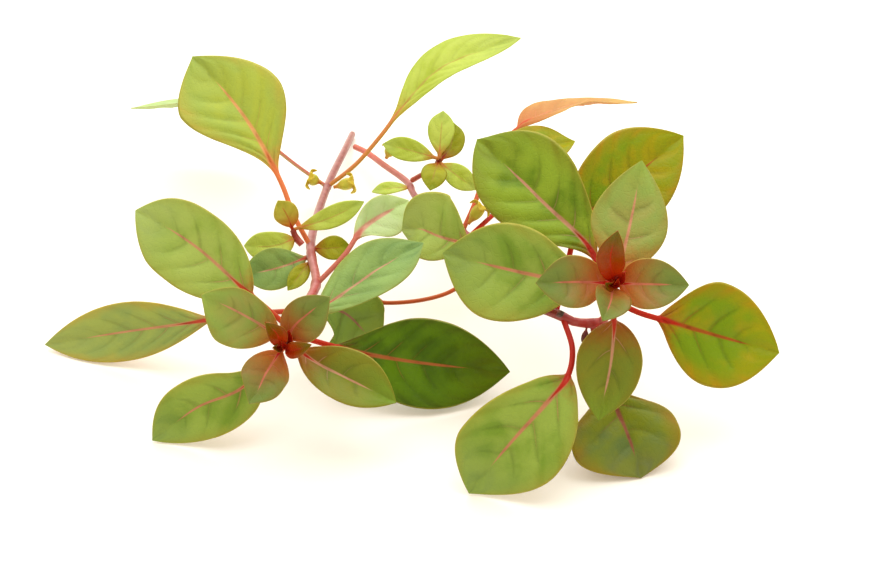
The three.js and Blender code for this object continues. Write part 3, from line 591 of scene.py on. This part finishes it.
def shape_leaf(piece, leaf, seed):
    """Lays a round bar along the leaf's route: a stalk that widens into a folded, quilted blade."""
    bar = corners_of(piece)
    leaf = ORDINARY_LEAF | leaf
    width, stalk, fold = leaf["width"], leaf["stalk"], leaf["fold"]
    route = smooth_route(leaf["route"])
    share = 1 - (1 - bar[:, 0]) ** SECTION_SPREAD
    t = np.clip((share - stalk) / (1 - stalk), 0, 1)
    angle = np.arctan2(bar[:, 2], bar[:, 1])
    side_share = 1 - 2 * np.abs(angle) / math.pi
    half = np.sign(np.round(side_share, 6))
    out = np.abs(side_share)
    on_margin = np.abs(bar[:, 2]) < TOUCH
    under = np.where(on_margin, 0.5, np.where(bar[:, 2] > 0, 0.0, 1.0))

    places, headings = follow(route, share)
    facing = np.array(leaf["face"], float)
    normals = unit(facing - headings * (headings @ facing)[:, None])
    sides = np.cross(normals, headings)

    # outline
    stalk_half = mix(min(STALK_HALF_WIDTH, width * STALK_SHARE), TIP_HALF_WIDTH, t)
    blade_half = width / 2 * (1 + leaf["lean"] * half) * blade_shape(t, half, leaf)
    across = stalk_half * np.sin(side_share * math.pi / 2) + blade_half * side_share * math.cos(fold)
    from_rib = out * blade_half
    in_blade = np.clip(blade_half / 2, 0, 1)

    # the side veins' valleys and the tissue that swells between them
    veins = max(FEWEST_VEINS, route[1][-1] * (1 - stalk) / VEIN_SPACING)
    drift = VEIN_DRIFT[0] * np.sin(5 * t + seed) + VEIN_DRIFT[1] * np.sin(4 * side_share + 2 * seed)
    phase = veins * (t - VEIN_SWEEP * out ** VEIN_CURVE) + VEIN_STAGGER * half + drift
    vein_end = smooth(out, 0.35, 0.95) + smooth(t, 0.55, 0.95)
    swell = np.abs(np.sin(math.pi * phase)) ** 0.6 * np.clip(1 - 0.7 * vein_end, 0, 1)
    groove = GROOVE_DEPTH * np.exp(-(from_rib / GROOVE_HALF_WIDTH) ** 2) * np.clip(6 * t, 0, 1)
    quilt = QUILT_SHARE * width * (swell - groove) * in_blade

    # the fold, which levels off towards the margin, the waved margin and the thickness
    wave = WAVE_SHARE * width * in_blade * out ** 2
    wave = wave * np.sin(WAVE_RUN * t + seed + WAVE_STAGGER * half)
    rise = blade_half * math.sin(fold) * (1.3 * out ** 1.2 - 0.3 * out ** 3)
    blade_share = np.clip(t * STALK_BLEND, 0, 1)
    half_depth = mix(min(STALK_HALF_DEPTH, width * STALK_SHARE), BLADE_HALF_DEPTH, blade_share)
    round_half = np.cos(side_share * math.pi / 2)
    flat_half = np.sqrt(np.clip(1 - out ** 6, 0, 1))
    depth = half_depth * mix(round_half, flat_half, blade_share)
    keel = KEEL_DEPTH * (1 - t) * np.exp(-(from_rib / KEEL_HALF_WIDTH) ** 2) * blade_share
    through = np.where(under > 0.5, -depth - keel * np.clip(blade_half, 0, 1), depth)
    through = np.where(on_margin, 0, through)

    lift = (rise + wave + quilt + through)[:, None]
    move_corners(piece, in_frame(places + sides * across[:, None] + normals * lift))

    rib_half = (mix(MIDRIB_BASE * width, MIDRIB_TIP * width, t ** 0.5) + MIDRIB_LEAST) * leaf["rib"]
    rib = np.abs(across) / rib_half
    record_share(piece, "along", np.where(share < stalk, share / stalk - 1, t))
    record_share(piece, "out", out)
    record_share(piece, "rib", rib + 2 * smooth(t, 0.6, 0.95))
    record_share(piece, "rib_root", rib + 2 * smooth(t, 0.0, 0.45))
    record_share(piece, "phase", phase)
    record_share(piece, "vein_end", vein_end)
    record_share(piece, "under", under)


def shape_stem(piece, stem, joints):
    """Lays a round bar along the stem's route, swollen at each joint and faintly ridged."""
    bar = corners_of(piece)
    route = smooth_route(stem["route"])
    share = bar[:, 0]
    places, headings = follow(route, share)
    upright = np.array(STEM_UPRIGHT)
    normals = unit(upright - headings * (headings @ upright)[:, None])
    sides = np.cross(normals, headings)
    angle = np.arctan2(bar[:, 2], bar[:, 1])
    from_axis = np.hypot(bar[:, 1], bar[:, 2])
    near = np.zeros(len(share))
    for joint in joints:
        near = np.maximum(near, np.exp(-((share - joint) * route[1][-1] / JOINT_REACH) ** 2))
    radius = mix(stem["radii"][0], stem["radii"][1], share) * (1 + JOINT_SWELL * near)
    radius = radius * (1 + RIDGE_SHARE * np.cos(RIDGE_COUNT * angle + 0.3 * np.sin(share * 9)))
    outward = sides * np.cos(angle)[:, None] + normals * np.sin(angle)[:, None]
    move_corners(piece, in_frame(places + outward * (radius * from_axis)[:, None]))
    record_share(piece, "along", share)
    record_share(piece, "joint", near)
    # the painted highlight's mask: how far each corner faces the lit side
    record_share(piece, "painted_highlight_side", outward @ unit(np.array(PAINTED_HIGHLIGHT_SIDE)))
    record_share(piece, "pith", (from_axis < 1 - 1.2 * RIND_SHARE) & (share < 0.01))


def capsule_axes(capsule):
    """A capsule's foot, length, direction and two directions across it."""
    foot, tip = np.array(capsule["foot"], float), np.array(capsule["tip"], float)
    length = np.linalg.norm(tip - foot)
    axis = (tip - foot) / length
    side = unit(np.cross(axis, (0, 0, 1.0)))
    return foot, length, axis, side, np.cross(side, axis)


def shape_capsule(piece, capsule, girth):
    """Stands a capsule blank on its foot, with four rounded lobes."""
    blank = corners_of(piece)
    foot, length, axis, side, top = capsule_axes(capsule)
    angle = np.arctan2(blank[:, 1], blank[:, 0])
    lobed = girth * (1 + CAPSULE_LOBE * np.cos(4 * angle) * smooth(blank[:, 2], 0.2, 0.5))
    shaped = (foot + axis * (blank[:, 2] * length)[:, None]
              + side * (blank[:, 0] * lobed)[:, None] + top * (blank[:, 1] * lobed)[:, None])
    move_corners(piece, in_frame(shaped))
    record_share(piece, "along", blank[:, 2])


# ---------------------------------------------------------------- materials

def linear(value):
    """An sRGB hex colour as the linear colour that a shader takes."""
    parts = [int(value[i:i + 2], 16) / 255 for i in (0, 2, 4)]
    return (*[p / 12.92 if p <= 0.04045 else ((p + 0.055) / 1.055) ** 2.4 for p in parts], 1.0)


def new_material(name):
    material = bpy.data.materials.new(name)
    material.use_nodes = True
    material.node_tree.nodes.clear()
    return material, material.node_tree


def add_node(tree, kind, settings=None, inputs=None, output=0):
    """Adds a node, makes its settings, gives each input its value or link, and returns an output.

    An input is called by its name, or by its identifier where a node has two of the same name.
    """
    node = tree.nodes.new(kind)
    for name, value in (settings or {}).items():
        setattr(node, name, value)
    sockets = {socket.identifier: socket for socket in node.inputs}
    sockets |= {socket.name: socket for socket in reversed(node.inputs) if socket.enabled}
    for name, value in (inputs or {}).items():
        if isinstance(value, bpy.types.NodeSocket):
            tree.links.new(value, sockets[name])
        else:
            sockets[name].default_value = value
    shown = [socket for socket in node.outputs if socket.enabled]
    return node.outputs[output] if isinstance(output, str) else (shown or [None])[output]


def paint_over(tree, skin, coats):
    """Lays coats of colour over a skin.

    A coat is the measure that it goes by, where that covers nothing, where it covers all, how
    strong the coat is there, and its colour.
    """
    for measure, bare, covered, strength, colour in coats:
        share = add_node(tree, "ShaderNodeMapRange", {"interpolation_type": "SMOOTHSTEP"},
                         {"Value": measure, "From Min": bare, "From Max": covered,
                          "To Max": strength})
        skin = add_node(tree, "ShaderNodeMix", {"data_type": "RGBA"},
                        {"Factor": share, "A": skin, "B": colour})
    return skin


def leaf_tissue(name, look):
    """Living leaf blade: a waxy skin that shines softly over green tissue that lets light through."""
    material, tree = new_material(name)
    colour = {part: linear(look[part]) for part in
              ("body", "patch_and_highlight", "tip", "margin", "flush", "rib", "thread", "under")}
    along, out, rib, rib_root, phase, vein_end, under = [
        add_node(tree, "ShaderNodeAttribute", {"attribute_name": share}, output="Fac")
        for share in ("along", "out", "rib", "rib_root", "phase", "vein_end", "under")]
    place = add_node(tree, "ShaderNodeTexCoord", output="Object")
    cloud = add_node(tree, "ShaderNodeTexNoise", None,
                     {"Vector": place, "Scale": 1 / (CLOUD_SIZE * MM), "Detail": 3.0})
    grain = add_node(tree, "ShaderNodeTexNoise", None,
                     {"Vector": place, "Scale": 1 / (GRAIN_SIZE * MM), "Detail": 4.0})
    net = add_node(tree, "ShaderNodeTexVoronoi", {"feature": "DISTANCE_TO_EDGE"},
                   {"Vector": place, "Scale": 1 / (NET_SIZE * MM)})

    # the margin and the red flush fade out raggedly, and a side vein is nearest where phase is whole
    margin = add_node(tree, "ShaderNodeMath", {"operation": "MULTIPLY_ADD"},
                      {"Value": cloud, "Value_001": 0.5, "Value_002": out})
    flush = add_node(tree, "ShaderNodeMath", {"operation": "MULTIPLY_ADD"},
                     {"Value": grain, "Value_001": 0.15, "Value_002": along})
    from_vein = add_node(tree, "ShaderNodeMath", {"operation": "PINGPONG"},
                         {"Value": phase, "Value_001": 0.5})
    vein = add_node(tree, "ShaderNodeMath", {"operation": "MULTIPLY_ADD"},
                    {"Value": vein_end, "Value_001": 0.2, "Value_002": from_vein})
    thread = add_node(tree, "ShaderNodeMath", {"operation": "MULTIPLY_ADD"},
                      {"Value": along, "Value_001": 0.08, "Value_002": vein})

    upper = paint_over(tree, colour["body"], [
        (cloud, 0.38, 0.62, 1.0, colour["patch_and_highlight"]),
        (along, 0.55, 1.0, 0.8, colour["tip"]),
        (margin, 0.85, 1.35, 0.8, colour["margin"]),
        # painted highlight: the swollen tissue between the side veins is lightened towards the patch
        # colour
        (vein, 0.25, 0.5, 0.35, colour["patch_and_highlight"]),
        # painted shade darkening the side veins' valleys
        (vein, 0.18, 0.0, look["valley_shade"], linear(VALLEY_SHADE_COLOUR)),
        (flush, look["flush_reach"] + 0.15, 0.0, 0.95, colour["flush"]),
        (thread, 0.06, 0.02, 0.5, colour["thread"]),
        (rib, 1.25, 0.5, 0.9, colour["thread"]),
        (rib_root, 1.25, 0.6, 1.0, colour["rib"]),
    ])
    lower = paint_over(tree, colour["under"], [
        (cloud, 0.4, 0.7, 0.4, colour["patch_and_highlight"]),
        (rib, 1.25, 0.6, 0.6, colour["thread"]),
        (rib_root, 1.25, 0.6, 0.9, colour["rib"]),
    ])
    skin = add_node(tree, "ShaderNodeMix", {"data_type": "RGBA"},
                    {"Factor": under, "A": upper, "B": lower})
    # painted highlight along the leaf's rim
    skin = paint_over(tree, skin, [(out, 0.955, 0.995, 0.5, linear(RIM_HIGHLIGHT_COLOUR))])

    relief = add_node(tree, "ShaderNodeMapRange", {"interpolation_type": "SMOOTHSTEP"},
                      {"Value": net, "From Max": 0.12})
    relief = add_node(tree, "ShaderNodeMath", {"operation": "ADD"},
                      {"Value": relief, "Value_001": grain})
    bump = add_node(tree, "ShaderNodeBump", None,
                    {"Strength": 0.3, "Distance": NET_HEIGHT * MM, "Height": relief})
    surface = add_node(tree, "ShaderNodeBsdfPrincipled", None,
                       {"Base Color": skin, "Roughness": look["roughness"], "IOR": TISSUE_IOR,
                        "Specular IOR Level": BLOOM, "Normal": bump})
    glow = add_node(tree, "ShaderNodeMix", {"data_type": "RGBA", "blend_type": "MULTIPLY"},
                    {"Factor": 1.0, "A": skin, "B": linear(THROUGH_COLOUR)})
    through = add_node(tree, "ShaderNodeBsdfTranslucent", None, {"Color": glow, "Normal": bump})
    both = add_node(tree, "ShaderNodeMixShader", None,
                    {"Fac": THROUGH_SHARE, "Shader": surface, "Shader_001": through})
    add_node(tree, "ShaderNodeOutputMaterial", None, {"Surface": both})
    return material


def stem_skin(name, stops, highlight_strength):
    """Living stem: a smooth juicy skin, faintly streaked along its length, darker at its joints, with a
    painted highlight down one side.
    """
    material, tree = new_material(name)
    along, joint, painted_highlight_side, pith = [
        add_node(tree, "ShaderNodeAttribute", {"attribute_name": share}, output="Fac")
        for share in ("along", "joint", "painted_highlight_side", "pith")]
    base = add_node(tree, "ShaderNodeValToRGB", None, {"Fac": along})
    elements = base.node.color_ramp.elements
    while len(elements) < len(stops):
        elements.new(0.5)
    for element, (position, value) in zip(elements, stops):
        element.position = position
        element.color = linear(value)
    place = add_node(tree, "ShaderNodeTexCoord", output="Object")
    streaks = add_node(tree, "ShaderNodeTexNoise", None,
                       {"Vector": place, "Scale": 1 / (STREAK_SIZE * MM), "Detail": 3.0})
    skin = paint_over(tree, base, [
        (streaks, 0.4, 0.7, 0.35, linear(STREAK_COLOUR)),
        # painted highlight down the stem's lit side
        (painted_highlight_side, 0.2, 0.9, highlight_strength, linear(PAINTED_HIGHLIGHT_COLOUR)),
        (joint, 0.3, 1.0, 0.45, linear(JOINT_COLOUR)),
        (pith, 0.0, 1.0, 1.0, linear(PITH_COLOUR)),
    ])
    bump = add_node(tree, "ShaderNodeBump", None,
                    {"Strength": 0.2, "Distance": STREAK_HEIGHT * MM, "Height": streaks})
    surface = add_node(tree, "ShaderNodeBsdfPrincipled", None,
                       {"Base Color": skin, "Roughness": 0.35, "IOR": TISSUE_IOR,
                        "Normal": bump})
    add_node(tree, "ShaderNodeOutputMaterial", None, {"Surface": surface})
    return material


def capsule_skin(name, foot, body, top, blush):
    """Ripening seed capsule or resting bud: a thin matt skin, mottled, tinted towards its top."""
    material, tree = new_material(name)
    along = add_node(tree, "ShaderNodeAttribute", {"attribute_name": "along"}, output="Fac")
    place = add_node(tree, "ShaderNodeTexCoord", output="Object")
    mottle = add_node(tree, "ShaderNodeTexNoise", None,
                      {"Vector": place, "Scale": 1 / (STREAK_SIZE * MM), "Detail": 3.0})
    skin = paint_over(tree, linear(foot), [
        (along, 0.1, 0.45, 1.0, linear(body)),
        (along, 0.6, 1.0, 1.0, linear(top)),
        (mottle, 0.4, 0.65, 0.5, linear(blush)),
    ])
    bump = add_node(tree, "ShaderNodeBump", None,
                    {"Strength": 0.3, "Distance": MOTTLE_HEIGHT * MM, "Height": mottle})
    surface = add_node(tree, "ShaderNodeBsdfPrincipled", None,
                       {"Base Color": skin, "Roughness": 0.5, "IOR": TISSUE_IOR,
                        "Normal": bump})
    add_node(tree, "ShaderNodeOutputMaterial", None, {"Surface": surface})
    return material


def table_top():
    """Matt white card."""
    material, tree = new_material("matt white card")
    surface = add_node(tree, "ShaderNodeBsdfPrincipled", None,
                       {"Base Color": linear(CARD_COLOUR), "Roughness": 0.9})
    add_node(tree, "ShaderNodeOutputMaterial", None, {"Surface": surface})
    return material


# ---------------------------------------------------------------- the pieces

def finish_piece(piece, material, node=None):
    piece.data.materials.clear()
    piece.data.materials.append(material)
    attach(piece, "root")
    if node:
        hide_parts(node)


def joint_shares(stem):
    """Where along a stem its leaves grow from it."""
    fine, lengths = smooth_route(stem["route"])
    found = []
    for leaf in LEAVES:
        distances = np.linalg.norm(fine - np.array(leaf["route"][0], float), axis=1)
        nearest = int(distances.argmin())
        share = lengths[nearest] / lengths[-1]
        if distances[nearest] < JOINT_NEAR and all(abs(share - other) > SAME_JOINT
                                                   for other in found):
            found.append(share)
    return found


def make_stems():
    blank = round_bar("stem blank", STEM_BLANK["sides"], STEM_BLANK["sections"])
    sink_pith(blank)
    for stem in STEMS:
        piece = copy_of(blank, stem["name"] + "_skin")
        shape_stem(piece, stem, joint_shares(stem))
        skin = stem_skin(stem["name"] + " skin", SKINS[stem["skin"]], PAINTED_HIGHLIGHT_STRENGTH[stem["skin"]])
        finish_piece(piece, skin, stem["name"])
    bpy.data.objects.remove(blank)


def make_leaves(tissues, large, small):
    for number, leaf in enumerate(LEAVES + BUDS):
        blank = large if leaf["width"] > LARGE_LEAF_WIDTH else small
        piece = copy_of(blank, leaf["name"] + "_blade")
        shape_leaf(piece, leaf, seed=number * 1.7)
        node = leaf["name"] if leaf in LEAVES else None
        finish_piece(piece, tissues[leaf["tissue"]], node)


def make_sepals(capsule, tissue, blank):
    """The four sepals that stay on a ripe capsule, spread from its shoulders and drooping."""
    foot, length, axis, side, top = capsule_axes(capsule)
    sepals = []
    for quarter in range(4):
        angle = math.pi / 4 + quarter * math.pi / 2
        outward = side * math.cos(angle) + top * math.sin(angle)
        start = foot + axis * length * SEPAL_HEIGHT + outward * SEPAL_START
        end = start + outward * SEPAL_REACH - axis * SEPAL_DROOP
        middle = (start + end) / 2 + axis * SEPAL_ARCH + outward * SEPAL_BULGE
        sepal = copy_of(blank, capsule["name"] + "_sepals")
        shape_leaf(sepal, {"width": SEPAL_WIDTH, "stalk": 0.05, "widest": 0.35, "fold": 0.25,
                           "face": tuple(axis + 0.4 * outward), "route": [start, middle, end]},
                   seed=quarter)
        sepals.append(sepal)
    for sepal in sepals:
        sepal.select_set(True)
    bpy.context.view_layer.objects.active = sepals[0]
    bpy.ops.object.join()
    bpy.ops.object.select_all(action="DESELECT")
    finish_piece(sepals[0], tissue)


def make_capsules(sepal_tissue, sepal_blank):
    ripe = capsule_skin("ripening capsule skin",
                        foot="B8581C", body="B4B030", top="E4CC4C", blush="D0C048")
    resting = capsule_skin("resting bud skin",
                           foot="7A1C10", body="5A1A10", top="3C2A10", blush="8A3418")
    blank = capsule_blank()
    for capsule in CAPSULES:
        piece = copy_of(blank, capsule["name"] + "_body")
        shape_capsule(piece, capsule, CAPSULE_GIRTH)
        finish_piece(piece, ripe, capsule["name"])
        make_sepals(capsule, sepal_tissue, sepal_blank)
    for bud in AXIL_BUDS:
        piece = copy_of(blank, bud["name"])
        shape_capsule(piece, bud, AXIL_BUD_GIRTH)
        finish_piece(piece, resting)
    bpy.data.objects.remove(blank)


def make_plant():
    tissues = {name: leaf_tissue(name + " leaf tissue", look) for name, look in TISSUES.items()}
    large = round_bar("large leaf blank", 2 * LARGE_BLANK["columns"], LARGE_BLANK["sections"])
    small = round_bar("small leaf blank", 2 * SMALL_BLANK["columns"], SMALL_BLANK["sections"])
    make_stems()
    make_leaves(tissues, large, small)
    make_capsules(tissues["sepal"], small)
    bpy.data.objects.remove(large)
    bpy.data.objects.remove(small)


def make_table():
    bpy.ops.mesh.primitive_circle_add(vertices=96, radius=TABLE_RADIUS * MM, fill_type="NGON")
    table = bpy.context.object
    table.name = "table"
    table.data.materials.append(table_top())


def make_light():
    """A white room with a warm floor bounce, and one large softbox high behind the plant."""
    world = bpy.data.worlds.new("soft warm room")
    bpy.context.scene.world = world
    world.use_nodes = True
    background = world.node_tree.nodes["Background"]
    background.inputs["Color"].default_value = linear(ROOM_COLOUR)
    background.inputs["Strength"].default_value = ROOM_STRENGTH
    lamp = bpy.data.lights.new("softbox", "AREA")
    lamp.size = SOFTBOX_SIZE * MM
    lamp.energy = SOFTBOX_WATTS
    lamp.color = linear(SOFTBOX_COLOUR)[:3]
    softbox = bpy.data.objects.new("softbox", lamp)
    softbox.location = Vector(in_frame(SOFTBOX_PLACE))
    aim = Vector(in_frame(VIEW_TARGET)) - softbox.location
    softbox.rotation_euler = aim.to_track_quat("-Z", "Y").to_euler()
    bpy.context.scene.collection.objects.link(softbox)


def make_camera():
    lens = bpy.data.cameras.new("camera")
    lens.sensor_width, lens.lens = SENSOR_WIDTH, LENS
    lens.clip_start = 0.01
    camera = bpy.data.objects.new("camera", lens)
    back = Vector((0, -math.cos(VIEW_ELEVATION), math.sin(VIEW_ELEVATION)))
    camera.location = Vector(in_frame(VIEW_TARGET + back * VIEW_DISTANCE))
    camera.rotation_euler = (math.pi / 2 - VIEW_ELEVATION, 0, 0)
    bpy.context.scene.collection.objects.link(camera)
    bpy.context.scene.camera = camera


bpy.context.scene.view_settings.view_transform = "Standard"
make_camera()
make_light()
make_table()
make_plant()
